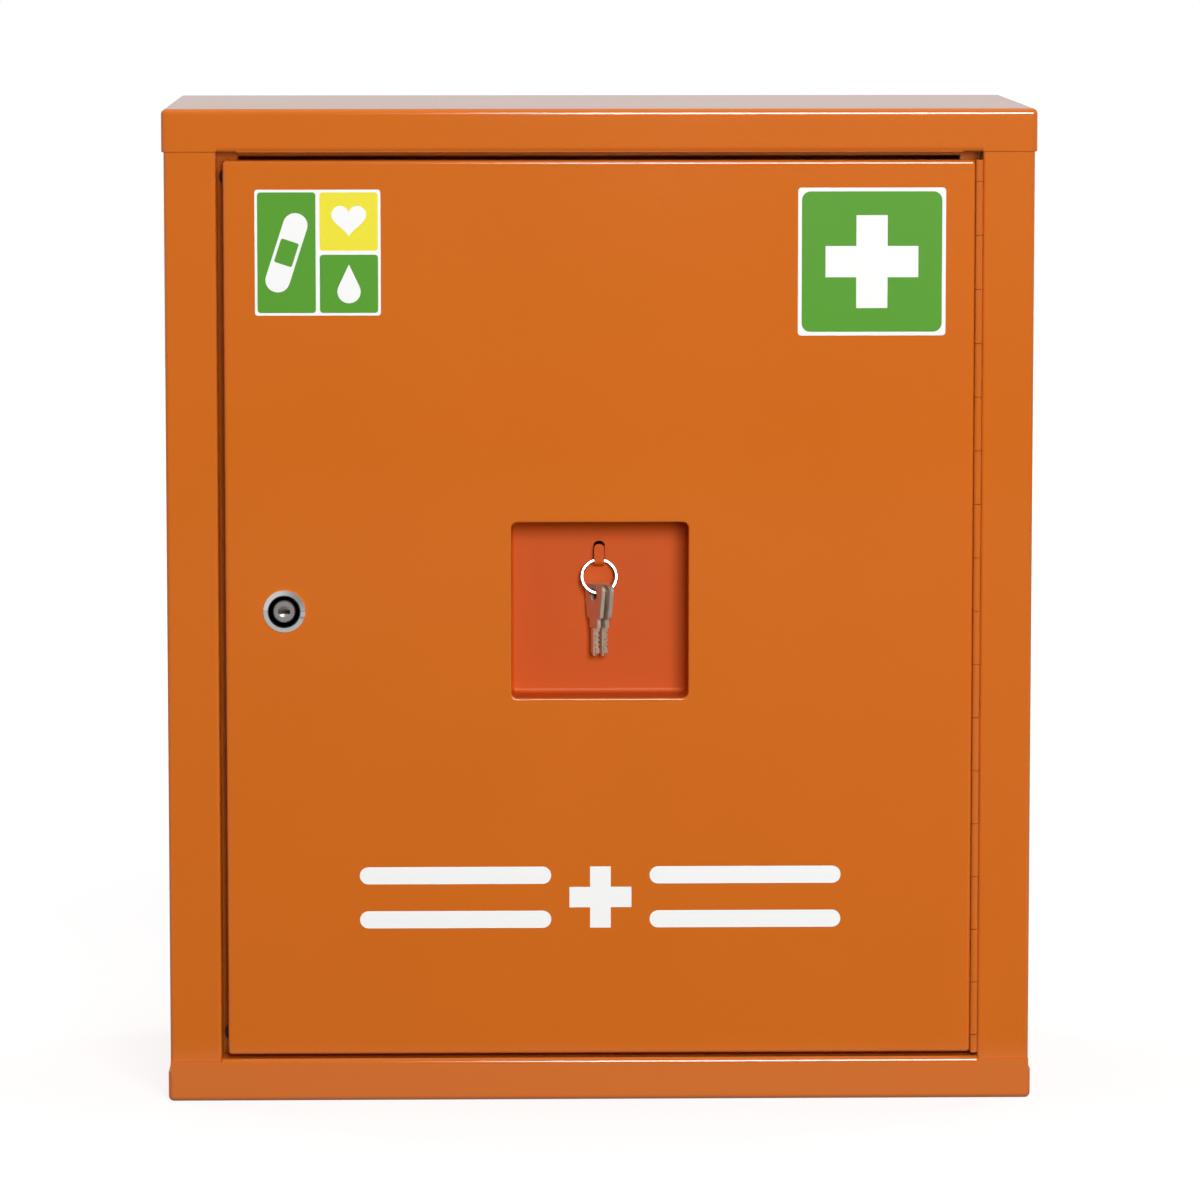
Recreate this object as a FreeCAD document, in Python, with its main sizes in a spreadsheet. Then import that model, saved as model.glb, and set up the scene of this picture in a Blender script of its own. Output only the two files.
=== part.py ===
import FreeCAD, Part
import math
import os
from types import SimpleNamespace

import Sketcher

Vector = FreeCAD.Vector
SAME_PLACE = 0.001               # closer than this is one place
MIN_CUT = 0.001                  # least volume that a cut takes away
FULL_TURN = 360.0
RIGHT_ANGLE = 90
HEX_CORNER = 2 / math.sqrt(3)    # a hexagon's corners to its flats

# Driving dimensions in millimetres, with angles in degrees.
SIZES = {
    "cabinet_height": 490.0,     # over both covers
    "body_width": 425.0,         # over the side panels
    "body_depth": 200.0,         # wall to the front of the stiles
    "sheet": 1.0,                # steel sheet of body, covers, door and shelves
    "bend": 0.8,                 # inside radius of the folds
    "cover_bend": 1.7,           # inside radius of the covers' folds
    "lap": 0.1,                  # clearance between lapped sheets
    "top_skirt": 21.0,           # height of the top cover's skirts
    "sill_height": 20.0,         # front skirt of the bottom cover, below the stiles
    "ledge_rise": 1.2,           # the sill below the door stands higher than at the stiles
    "base_skirt": 15.0,          # side skirts of the bottom cover
    "skirt_edge": 0.6,           # rounding of the side skirts' free edges
    "stile_width": 25.4,         # front face beside the door
    "rebate_depth": 19.0,        # stile front to the door stop
    "stop_lip": 10.0,            # width of the door stop
    "top_lip": 2.4,              # the stop is only a hem above the door
    "back_flange": 12.0,         # forward flange round the back panel
    "wall_hole": 8.0,            # diameter of the wall screw holes
    "wall_pitch_across": 320.0,
    "wall_pitch_up": 380.0,
    "door_gap_side": 3.2,        # at the lock side
    "door_gap_top": 4.0,
    "door_gap_sill": 2.0,
    "door_thickness": 16.0,      # front skin to the back of the inner lips
    "door_lip": 9.0,             # inner lip round the back of the door
    "leaf_sheet": 0.75,          # hinge strip and knuckle wall
    "leaf_depth": 14.0,
    "leaf_notch": 2.2,           # strip edge behind the other leaf's knuckles
    "knuckle_pitch": 26.4,
    "first_knuckle": 9.0,        # cut knuckle at the lower end
    "knuckle_gap": 0.3,
    "pin_diameter": 2.0,
    "pin_clearance": 0.05,       # radial, pin to knuckle bore
    "shelf_pitch": 160.0,        # upper to lower shelf
    "shelf_setback": 34.0,       # stile front to shelf edge
    "shelf_lip": 18.0,           # front edge folded down
    "shelf_hem": 8.0,            # front edge returned
    "shelf_upstand": 12.0,       # rear edge folded up
    "shelf_clearance": 1.0,      # shelf end to back panel flange
    "rail_leg": 15.0,
    "rail_inset": 16.0,          # rail ends to the shelf's front and the back panel
    "buffer_diameter": 9.0,
    "buffer_inset": 8.5,         # buffer centre from the door's end
    "buffer_gap": 0.3,           # buffer to closed door
    "buffer_edge": 0.8,          # rounding of the buffer's edge
    "window": 87.0,              # square key window
    "window_radius": 3.0,
    "window_edge": 0.9,          # rounding of the window's front edge
    "box_depth": 22.0,           # door front to the key box's back wall
    "box_bend": 2.4,             # inside radius of the key box's folds
    "box_flange": 8.0,
    "hook_width": 5.0,
    "hook_gap": 3.0,             # tongue to back wall
    "hook_height": 10.7,
    "hook_rise": 20.2,           # underside of the hook above the window's centre
    "hook_tip": 2.2,             # rounding of the tongue's end
    "hook_slit": 0.35,           # cut beside the tongue
    "hook_top_slit": 1.2,        # cut above the tongue
    "ring_diameter": 18.5,       # outside
    "ring_wire": 1.5,            # radial width of the flat wire
    "ring_coil": 1.0,            # thickness of one coil
    "ring_bevel": 0.3,           # broken edges of the wire
    "ring_slit": 0.3,            # gap at a coil's end
    "ring_slit_turn": 22.0,      # coil ends from the side of the ring
    "ring_lift": 1.5,            # wire centre above the hook
    "ring_tilt": 20.0,           # the keys push the ring off the wall
    "key_turn": 33.0,            # keys turned from edge on
    "key_spacing": 4.2,
    "key_thickness": 2.0,
    "key_hole": 5.8,
    "key_sag": 0.4,              # hole centre below the ring's wire
    "bow_width": 16.0,
    "bow_foot": 11.0,            # width where the bow meets the shoulder
    "bow_above": 5.2,            # hole centre to the top of the bow
    "bow_below": 12.2,
    "bow_radius": 3.0,
    "bow_foot_radius": 1.5,
    "shoulder_width": 6.8,
    "shoulder_height": 4.4,
    "blade_width": 4.4,
    "blade_length": 14.0,
    "blade_tip": 1.6,            # height of the pointed tip
    "blade_groove": 0.5,         # depth of the milled groove
    "groove_width": 1.3,
    "groove_shift": 0.7,         # groove off the blade's middle line
    "cut_count": 4,              # notches in the blade's edge
    "cut_depth": 0.9,
    "cut_pitch": 2.3,
    "cut_first": 2.6,            # first notch below the shoulder
    "lock_inset": 28.9,          # lock axis from the door's edge
    "rim_diameter": 20.6,
    "rim_height": 2.4,           # proud of the door
    "rim_flat": 16.2,            # front diameter of the conical rim
    "rim_land": 0.7,             # straight edge at the foot of the cone
    "cup_diameter": 15.4,        # sunk ring round the plug
    "cup_depth": 3.4,
    "barrel_diameter": 18.0,
    "barrel_flats": 16.0,
    "barrel_clearance": 0.15,
    "nut_flats": 22.0,
    "nut_thickness": 4.5,
    "plug_diameter": 10.9,
    "plug_clearance": 0.05,
    "plug_sink": 0.4,            # plug face below the rim
    "plug_edge": 0.5,            # rounded edge of the plug's face
    "keyway_width": 5.8,
    "keyway_height": 2.2,
    "keyway_depth": 17.0,
    "dimple_diameter": 5.4,
    "dimple_depth": 1.4,
    "wafer_count": 5,
    "wafer_thickness": 0.9,
    "wafer_pitch": 2.0,
    "wafer_height": 5.0,
    "wafer_first": 6.0,          # first wafer behind the plug's face
    "wafer_clearance": 0.05,
    "latch_clearance": 1.0,      # cam to door stop
    "cam_clearance": 0.2,        # cam to lock housing
    "cam_thickness": 1.8,
    "cam_width": 13.0,
    "cam_reach": 31.0,           # lock axis to the cam's tip
    "cam_corner": 4.0,
    "tail_square": 6.0,
    "tail_clearance": 0.1,
    "washer_diameter": 11.0,
    "washer_thickness": 1.0,
    "screw_diameter": 4.0,
    "screw_length": 8.0,
    "screw_head": 7.6,
    "screw_head_height": 2.8,
}


class Size:
    """A length or angle that carries its number and the formula that ties it to the sheet."""

    def __init__(self, value, formula):
        self.value = float(value)
        self.formula = formula

    def __add__(self, other):
        other = as_size(other)
        return Size(self.value + other.value, f"({self.formula} + {other.formula})")

    def __sub__(self, other):
        other = as_size(other)
        return Size(self.value - other.value, f"({self.formula} - {other.formula})")

    def __mul__(self, other):
        other = as_size(other)
        return Size(self.value * other.value, f"({self.formula} * {other.formula})")

    def __truediv__(self, other):
        other = as_size(other)
        return Size(self.value / other.value, f"({self.formula} / {other.formula})")

    def __radd__(self, other):
        return as_size(other) + self

    def __rsub__(self, other):
        return as_size(other) - self

    def __rmul__(self, other):
        return as_size(other) * self

    def __neg__(self):
        return Size(-self.value, f"(0 - {self.formula})")


def as_size(amount):
    return amount if isinstance(amount, Size) else Size(amount, str(amount))


def sine(angle):
    return Size(math.sin(math.radians(angle.value)), f"sin({angle.formula})")


def cosine(angle):
    return Size(math.cos(math.radians(angle.value)), f"cos({angle.formula})")


def square_root(amount):
    return Size(math.sqrt(amount.value), f"sqrt({amount.formula})")


def ceiling(amount):
    return Size(math.ceil(amount.value), f"ceil({amount.formula})")


doc = FreeCAD.newDocument("FirstAidCabinet")
sheet = doc.addObject("Spreadsheet::Sheet", "Sizes")
for line, (alias, amount) in enumerate(SIZES.items(), start=1):
    sheet.set(f"A{line}", alias)
    sheet.set(f"B{line}", str(amount))
    sheet.setAlias(f"B{line}", alias)
doc.recompute()
size = SimpleNamespace(**{alias: Size(sheet.get(alias), f"Sizes.{alias}") for alias in SIZES})


# Small helpers for bound sketches and features.

def bind(item, path, amount):
    item.setExpression(path, as_size(amount).formula)


def new_body(label, base=None):
    body = doc.addObject("PartDesign::Body", label)
    body.Label = label
    body.AllowCompound = True
    if base is not None:
        move(body, base)
    return body


def move(item, base):
    for axis, amount in zip("xyz", base):
        bind(item, f"Placement.Base.{axis}", amount)


def sketch_on(body, name, role, offset=None):
    """A sketch on one of the body's origin planes, moved along its normal by offset."""
    plane = next(item for item in body.Origin.OriginFeatures if item.Role == role)
    sketch = body.newObject("Sketcher::SketchObject", name)
    sketch.AttachmentSupport = [(plane, "")]
    sketch.MapMode = "FlatFace"
    if offset is not None:
        bind(sketch, "AttachmentOffset.Base.z", offset)
    return sketch


def tie(sketch, kind, geometry, amount):
    index = sketch.addConstraint(Sketcher.Constraint(kind, *geometry, amount.value))
    sketch.setExpression(f"Constraints[{index}]", amount.formula)


def place(sketch, geometry, point, axis, amount):
    """Ties one coordinate of a sketch point to a size; the number 0 puts it on the axis."""
    if isinstance(amount, Size):
        kind = {"x": "DistanceX", "y": "DistanceY"}[axis]
        tie(sketch, kind, (-1, 1, geometry, point), amount)
    else:
        axis_line = {"x": -2, "y": -1}[axis]
        sketch.addConstraint(Sketcher.Constraint("PointOnObject", geometry, point, axis_line))


def corner_arc(corner, before, after, radius):
    """Arc of a rounded corner, and which of its ends meets the line before it."""
    first = corner - before * radius
    last = corner + after * radius
    centre = first + after * radius
    turns_left = before.x * after.y - before.y * after.x > 0
    start, end = (first, last) if turns_left else (last, first)
    start_angle = math.atan2(start.y - centre.y, start.x - centre.x)
    end_angle = math.atan2(end.y - centre.y, end.x - centre.x)
    circle = Part.Circle(centre, Vector(0, 0, 1), radius)
    return Part.ArcOfCircle(circle, start_angle, end_angle), (1, 2) if turns_left else (2, 1)


def outline(sketch, corners):
    """Closed outline of level and upright lines; each corner is (x, y, radius or None)."""
    count = len(corners)
    spots = [Vector(as_size(x).value, as_size(y).value, 0) for x, y, radius in corners]
    reach = [0.0 if radius is None else radius.value for x, y, radius in corners]
    lines = []
    headings = []
    for index in range(count):
        following = (index + 1) % count
        heading = (spots[following] - spots[index]).normalize()
        start = spots[index] + heading * reach[index]
        end = spots[following] - heading * reach[following]
        line = sketch.addGeometry(Part.LineSegment(start, end), False)
        upright = abs(heading.x) < abs(heading.y)
        sketch.addConstraint(Sketcher.Constraint("Vertical" if upright else "Horizontal", line))
        lines.append(line)
        headings.append(heading)
    for index in range(count):
        upright = abs(headings[index].x) < abs(headings[index].y)
        place(sketch, lines[index], 1, "x" if upright else "y", corners[index][0 if upright else 1])
        radius = corners[index][2]
        if radius is None:
            sketch.addConstraint(Sketcher.Constraint("Coincident", lines[index - 1], 2, lines[index], 1))
            continue
        shape, ends = corner_arc(spots[index], headings[index - 1], headings[index], radius.value)
        arc = sketch.addGeometry(shape, False)
        sketch.addConstraint(Sketcher.Constraint("Tangent", lines[index - 1], 2, arc, ends[0]))
        sketch.addConstraint(Sketcher.Constraint("Tangent", arc, ends[1], lines[index], 1))
        tie(sketch, "Radius", (arc,), radius)


def rectangle(sketch, left, right, low, high, radius=None):
    outline(sketch, [(left, low, radius), (right, low, radius), (right, high, radius), (left, high, radius)])


def polygon(sketch, points):
    """Closed outline of straight lines between points that are each tied to sizes."""
    spots = [Vector(as_size(x).value, as_size(y).value, 0) for x, y in points]
    lines = []
    for start, end in zip(spots, spots[1:] + spots[:1]):
        lines.append(sketch.addGeometry(Part.LineSegment(start, end), False))
    for index, (x, y) in enumerate(points):
        sketch.addConstraint(Sketcher.Constraint("Coincident", lines[index - 1], 2, lines[index], 1))
        place(sketch, lines[index], 1, "x", x)
        place(sketch, lines[index], 1, "y", y)


def disc(sketch, x, y, radius):
    centre = Vector(as_size(x).value, as_size(y).value, 0)
    circle = sketch.addGeometry(Part.Circle(centre, Vector(0, 0, 1), radius.value), False)
    place(sketch, circle, 3, "x", x)
    place(sketch, circle, 3, "y", y)
    tie(sketch, "Radius", (circle,), radius)


def flatted_disc(sketch, x, y, radius, half_flat):
    """A disc with two level flats, the section of the lock's barrel."""
    centre = Vector(as_size(x).value, as_size(y).value, 0)
    half_angle = math.asin(half_flat.value / radius.value)
    circle = Part.Circle(centre, Vector(0, 0, 1), radius.value)
    right = sketch.addGeometry(Part.ArcOfCircle(circle, -half_angle, half_angle), False)
    left = sketch.addGeometry(Part.ArcOfCircle(circle, math.pi - half_angle, math.pi + half_angle), False)
    half_chord = radius.value * math.cos(half_angle)
    for flat, after, before in ((half_flat, right, left), (-half_flat, left, right)):
        side = math.copysign(half_chord, flat.value)
        start = centre + Vector(side, flat.value, 0)
        end = centre + Vector(-side, flat.value, 0)
        line = sketch.addGeometry(Part.LineSegment(start, end), False)
        sketch.addConstraint(Sketcher.Constraint("Horizontal", line))
        sketch.addConstraint(Sketcher.Constraint("Coincident", after, 2, line, 1))
        sketch.addConstraint(Sketcher.Constraint("Coincident", line, 2, before, 1))
        place(sketch, line, 1, "y", flat if not isinstance(y, Size) else y + flat)
    place(sketch, right, 3, "x", x)
    place(sketch, right, 3, "y", y)
    sketch.addConstraint(Sketcher.Constraint("Coincident", right, 3, left, 3))
    tie(sketch, "Radius", (right,), radius)
    sketch.addConstraint(Sketcher.Constraint("Equal", right, left))


def shifted(amount, distance, factor):
    return amount if factor == 0 else amount + distance * factor


def folded(path, side, bend=None):
    """Section of the sheet folded along path, lying to its left (1) or right (-1)."""
    inside = size.bend if bend is None else bend
    outside = inside + size.sheet
    spots = [Vector(as_size(x).value, as_size(y).value, 0) for x, y in path]
    headings = [(end - start).normalize() for start, end in zip(spots, spots[1:])]
    normals = [(round(-heading.y) * side, round(heading.x) * side) for heading in headings]
    near = []
    far = []
    for index, (x, y) in enumerate(path):
        touching = normals[max(index - 1, 0):index + 1]
        across = sum(normal[0] for normal in touching)
        up = sum(normal[1] for normal in touching)
        near_radius = None
        far_radius = None
        if len(touching) == 2:
            before, after = headings[index - 1], headings[index]
            sheet_inside = (before.x * after.y - before.y * after.x) * side > 0
            near_radius, far_radius = (outside, inside) if sheet_inside else (inside, outside)
        near.append((x, y, near_radius))
        far.append((shifted(x, size.sheet, across), shifted(y, size.sheet, up), far_radius))
    return near + far[::-1]


def pad(body, name, sketch, length, symmetric=False, backward=False):
    feature = body.newObject("PartDesign::Pad", name)
    feature.Profile = sketch
    feature.SideType = "Symmetric" if symmetric else "One side"
    feature.Reversed = backward
    bind(feature, "Length", length)
    return feature


def pocket(body, name, sketch, depth=None, backward=False, sure=True):
    """Cut to a depth, or right through both ways; a sure cut has to remove material."""
    doc.recompute()
    before = body.Shape.Volume
    feature = body.newObject("PartDesign::Pocket", name)
    feature.Profile = sketch
    feature.Reversed = backward
    if depth is None:
        feature.Type = "ThroughAll"
        feature.SideType = "Symmetric"
    else:
        bind(feature, "Length", depth)
    doc.recompute()
    if sure and body.Shape.Volume > before - MIN_CUT:
        raise RuntimeError(f"{name} cuts nothing")
    return feature


def turned(body, name, sketch, kind="PartDesign::Revolution"):
    """Revolves a section about the sketch's upright axis."""
    feature = body.newObject(kind, name)
    feature.Profile = sketch
    feature.ReferenceAxis = (sketch, ["V_Axis"])
    feature.Angle = FULL_TURN
    return feature


def rounded(body, name, base, wanted, radius):
    doc.recompute()
    edges = [f"Edge{number}" for number, edge in enumerate(base.Shape.Edges, start=1)
             if wanted(edge.CenterOfMass)]
    feature = body.newObject("PartDesign::Fillet", name)
    feature.Base = (base, edges)
    bind(feature, "Radius", radius)
    return feature


def hollowed(body, name, sketch, depth, wanted, bend, backward=False):
    """Cuts the cavity of a folded pan and rounds the inside of its folds."""
    cavity = pocket(body, f"{name}_cavity", sketch, depth, backward)
    return rounded(body, f"{name}_inner_folds", cavity, wanted, bend)


def straight_row(body, name, originals, axis_role, spacing, count):
    """Straight row of copies along one of the body's axes."""
    doc.recompute()
    axis = next(item for item in body.Origin.OriginFeatures if item.Role == axis_role)
    feature = body.newObject("PartDesign::LinearPattern", name)
    feature.Originals = originals
    feature.Direction = (axis, [""])
    feature.Mode = "Spacing"
    bind(feature, "Offset", spacing)
    bind(feature, "Occurrences", count)
    body.Tip = feature
    return feature


def close(value, target):
    return abs(value - as_size(target).value) < SAME_PLACE


# Shared places. The origin is the middle of the wall holes, on the back face.
# The front faces -Y, +X is to the right as seen from the front.
half_width = size.body_width / 2
half_height = size.cabinet_height / 2
outer_bend = size.bend + size.sheet
cover_outer_bend = size.cover_bend + size.sheet
front = -size.body_depth
cover_front = front - size.lap - size.sheet
cover_half = half_width + size.lap + size.sheet
opening_half = half_width - size.stile_width
opening_top = half_height - size.top_skirt
opening_sill = size.sill_height + size.ledge_rise - half_height
stop_face = front + size.rebate_depth
panel_half_height = half_height - size.sheet - size.cover_bend - size.lap

knuckle_radius = size.pin_diameter / 2 + size.pin_clearance + size.leaf_sheet
axis_x = opening_half - knuckle_radius
door_left = size.door_gap_side - opening_half
door_right = axis_x - knuckle_radius
door_top = opening_top - size.door_gap_top
door_foot = opening_sill + size.door_gap_sill
door_middle = (door_top + door_foot) / 2
door_height = door_top - door_foot
door_back = front + size.door_thickness

window_half = size.window / 2
box_wall = front + size.box_depth
hook_low = door_middle + size.hook_rise
ring_radius = (size.ring_diameter - size.ring_wire) / 2
ring_top_y = box_wall - size.hook_gap / 2
ring_top_z = hook_low + size.sheet + size.ring_lift
ring_foot_y = ring_top_y - 2 * ring_radius * sine(size.ring_tilt)
ring_foot_z = ring_top_z - 2 * ring_radius * cosine(size.ring_tilt)
ring_centre = (0, (ring_top_y + ring_foot_y) / 2, (ring_top_z + ring_foot_z) / 2)

lock_x = door_left + size.lock_inset
lock_base = (lock_x, front, door_middle)
plug_face = size.plug_sink - size.rim_height
cam_front = size.rebate_depth + size.sheet + size.latch_clearance
cam_back = cam_front + size.cam_thickness


# Cabinet body.

def side_panel(label, hand):
    """Side wall, stile, return and stop lip folded from one sheet; hand is -1 left, 1 right."""
    panel = new_body(label)
    wall = hand * half_width
    inner = hand * opening_half
    path = [
        (wall, 0),
        (wall, front),
        (inner, front),
        (inner, stop_face),
        (inner - hand * size.stop_lip, stop_face),
    ]
    section = sketch_on(panel, f"{label}_section", "XY_Plane", -panel_half_height)
    outline(section, folded(path, -hand))
    pad(panel, f"{label}_sheet", section, 2 * panel_half_height)


def back_panel():
    """Pan with forward flanges and the four wall holes."""
    panel = new_body("back_panel")
    reach = half_width - size.sheet
    rise = half_height - size.sheet
    plan = sketch_on(panel, "back_outline", "XZ_Plane")
    rectangle(plan, -reach, reach, -rise, rise)
    block = pad(panel, "back_block", plan, size.back_flange)
    rounded(panel, "back_folds", block, lambda at: not close(at.y, -size.back_flange), outer_bend)
    cavity = sketch_on(panel, "back_cavity_outline", "XZ_Plane", size.back_flange)
    rectangle(cavity, size.sheet - reach, reach - size.sheet, size.sheet - rise, rise - size.sheet)

    def inner_edge(at):
        corner = close(abs(at.x), reach - size.sheet) and close(abs(at.z), rise - size.sheet)
        return corner or close(at.y, -size.sheet)

    hollowed(panel, "back", cavity, size.back_flange - size.sheet, inner_edge, size.bend)
    holes = sketch_on(panel, "wall_holes", "XZ_Plane")
    for across in (-1, 1):
        for up in (-1, 1):
            disc(holes, across * size.wall_pitch_across / 2, up * size.wall_pitch_up / 2, size.wall_hole / 2)
    pocket(panel, "wall_hole_cut", holes, 2 * size.sheet, backward=True)


def cover_tray(cover, rim, closed):
    """Tray with skirts at both sides and the front, open at the level rim and at the back."""
    name = cover.Label
    upward = rim.value < closed.value
    plan = sketch_on(cover, f"{name}_outline", "XY_Plane", rim)
    rectangle(plan, -cover_half, cover_half, cover_front, 0)
    height = closed - rim if upward else rim - closed
    pad(cover, f"{name}_block", plan, height, backward=not upward)
    cavity = sketch_on(cover, f"{name}_cavity_outline", "XY_Plane", rim)
    inner_half = cover_half - size.sheet
    inner_front = cover_front + size.sheet
    rectangle(cavity, -inner_half, inner_half, inner_front, size.sheet)
    floor = closed - size.sheet if upward else closed + size.sheet

    def inner_edge(at):
        corner = close(abs(at.x), inner_half) and close(at.y, inner_front)
        return corner or close(at.z, floor) and not close(at.y, 0)

    depth = height - size.sheet
    tray = hollowed(cover, name, cavity, depth, inner_edge, size.cover_bend, backward=upward)

    def outer_edge(at):
        level = close(at.z, closed) and not close(at.y, 0)
        front_corner = close(at.y, cover_front) and close(abs(at.x), cover_half)
        return level or front_corner

    folded_tray = rounded(cover, f"{name}_folds", tray, outer_edge, cover_outer_bend)

    def side_rim(at):
        return close(at.z, rim) and close(abs(at.x), cover_half)

    rounded(cover, f"{name}_skirt_edges", folded_tray, side_rim, size.skirt_edge)


def door_rebate(cover, edge, hand, lip_width):
    """Skirt edge folded back into the rebate, with a stop lip; hand is 1 above the door, -1 below."""
    name = cover.Label
    grip = edge + hand * 2 * cover_outer_bend
    ledge_half = opening_half - size.lap
    lip_half = ledge_half - size.stop_lip
    ledge = sketch_on(cover, f"{name}_ledge_section", "YZ_Plane")
    path = [(cover_front, grip), (cover_front, edge), (stop_face - outer_bend, edge)]
    outline(ledge, folded(path, hand, size.cover_bend))
    pad(cover, f"{name}_ledge", ledge, 2 * ledge_half, symmetric=True)
    lip = sketch_on(cover, f"{name}_lip_section", "YZ_Plane")
    lip_end = edge - hand * lip_width
    outline(lip, folded([(front, edge), (stop_face, edge), (stop_face, lip_end)], hand))
    pad(cover, f"{name}_lip", lip, 2 * lip_half, symmetric=True)


def top_cover():
    cover = new_body("top_cover")
    cover_tray(cover, opening_top, half_height)
    ledge_half = opening_half - size.lap
    notch = sketch_on(cover, "top_notch", "XZ_Plane", -cover_front)
    rectangle(notch, -ledge_half, ledge_half, opening_top - size.lap, opening_top + 2 * cover_outer_bend)
    pocket(cover, "top_notch_cut", notch, 2 * size.sheet)
    door_rebate(cover, opening_top, 1, size.top_lip)


def bottom_cover():
    cover = new_body("bottom_cover")
    skirt_top = size.base_skirt - half_height
    cover_tray(cover, skirt_top, -half_height)
    ledge_half = opening_half - size.lap
    sill = sketch_on(cover, "sill_ends", "XZ_Plane", -cover_front)
    for hand in (-1, 1):
        outer = hand * half_width
        inner = hand * ledge_half
        left, right = sorted((outer, inner), key=lambda x: x.value)
        rectangle(sill, left, right, skirt_top - outer_bend, opening_sill - size.ledge_rise)
    pad(cover, "sill_end_sheets", sill, size.sheet, backward=True)
    grip = sketch_on(cover, "sill_middle", "XZ_Plane", -cover_front)
    rectangle(grip, -ledge_half, ledge_half, skirt_top - outer_bend, opening_sill - 2 * cover_outer_bend)
    pad(cover, "sill_middle_sheet", grip, size.sheet, backward=True)
    door_rebate(cover, opening_sill, -1, size.stop_lip)


def shelf(label, level):
    """Shelf with a folded-down hemmed front and an upstand at the back; level is its top face."""
    item = new_body(label)
    edge = front + size.shelf_setback
    rear = -size.sheet - size.shelf_clearance
    hem_level = level - size.shelf_lip
    path = [
        (edge + size.shelf_hem, hem_level),
        (edge, hem_level),
        (edge, level),
        (rear - size.sheet, level),
        (rear - size.sheet, level + size.shelf_upstand),
    ]
    section = sketch_on(item, f"{label}_section", "YZ_Plane")
    outline(section, folded(path, -1))
    reach = half_width - 2 * size.sheet - size.shelf_clearance
    pad(item, f"{label}_sheet", section, 2 * reach, symmetric=True)


def rail(label, hand, level):
    """Angle on the side wall under a shelf; level is the shelf's underside."""
    item = new_body(label)
    wall = hand * (half_width - size.sheet)
    path = [
        (wall, level - size.rail_leg),
        (wall, level),
        (wall - hand * size.rail_leg, level),
    ]
    start = -front - size.shelf_setback - size.rail_inset
    section = sketch_on(item, f"{label}_section", "XZ_Plane", size.rail_inset)
    outline(section, folded(path, hand))
    pad(item, f"{label}_sheet", section, start - size.rail_inset)


def door_buffers():
    """Two round rubber buffers on the stop lip beside the lock."""
    item = new_body("door_buffers")
    height = size.rebate_depth - size.door_thickness - size.buffer_gap
    x = size.bend + size.lap + size.buffer_diameter / 2 - opening_half
    plan = sketch_on(item, "buffer_outline", "XZ_Plane", -stop_face)
    disc(plan, x, door_foot + size.buffer_inset, size.buffer_diameter / 2)
    disc(plan, x, door_top - size.buffer_inset, size.buffer_diameter / 2)
    discs = pad(item, "buffer_discs", plan, height)
    rounded(item, "buffer_edges", discs, lambda at: close(at.y, stop_face - height), size.buffer_edge)


# Door.

def door_panel():
    """Folded pan with inner lips, the key window and the lock hole."""
    panel = new_body("door_panel")
    plan = sketch_on(panel, "door_outline", "XZ_Plane", -front)
    rectangle(plan, door_left, door_right, door_foot, door_top)
    block = pad(panel, "door_block", plan, size.door_thickness, backward=True)
    rounded(panel, "door_folds", block, lambda at: not close(at.y, door_back), outer_bend)
    inner_left = door_left + size.sheet
    inner_right = door_right - size.sheet
    inner_foot = door_foot + size.sheet
    inner_top = door_top - size.sheet
    cavity = sketch_on(panel, "door_cavity_outline", "XZ_Plane", -door_back)
    rectangle(cavity, inner_left, inner_right, inner_foot, inner_top)

    def inner_edge(at):
        beside = close(at.x, inner_left) or close(at.x, inner_right)
        ends = close(at.z, inner_foot) or close(at.z, inner_top)
        return close(at.y, front + size.sheet) or beside and ends

    depth = size.door_thickness - size.sheet
    hollowed(panel, "door", cavity, depth, inner_edge, size.bend, backward=True)
    lips = sketch_on(panel, "door_lip_outline", "XZ_Plane", -door_back)
    lip = size.door_lip
    rectangle(lips, door_left, door_right, door_foot, door_top, outer_bend)
    rectangle(lips, door_left + lip, door_right - lip, door_foot + lip, door_top - lip)
    lip_ring = pad(panel, "door_lips", lips, size.sheet)

    def rear_fold(at):
        beside = close(at.x, door_left) or close(at.x, door_right)
        ends = close(at.z, door_foot) or close(at.z, door_top)
        return close(at.y, door_back) and (beside or ends)

    rounded(panel, "door_rear_folds", lip_ring, rear_fold, outer_bend)
    window = sketch_on(panel, "window_outline", "XZ_Plane", -front)
    low = door_middle - window_half
    high = door_middle + window_half
    rectangle(window, -window_half, window_half, low, high, size.window_radius)
    opening = pocket(panel, "window_cut", window, 2 * size.sheet)

    def window_edge(at):
        beside = abs(at.x) < window_half.value + lip.value
        level = low.value - lip.value < at.z < high.value + lip.value
        return beside and level and close(at.y, front)

    rounded(panel, "window_edge", opening, window_edge, size.window_edge)
    hole = sketch_on(panel, "lock_hole", "XZ_Plane", -front)
    barrel = size.barrel_diameter / 2 + size.barrel_clearance
    flatted_disc(hole, lock_x, door_middle, barrel, size.barrel_flats / 2 + size.barrel_clearance)
    pocket(panel, "lock_hole_cut", hole, 2 * size.sheet)


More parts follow.
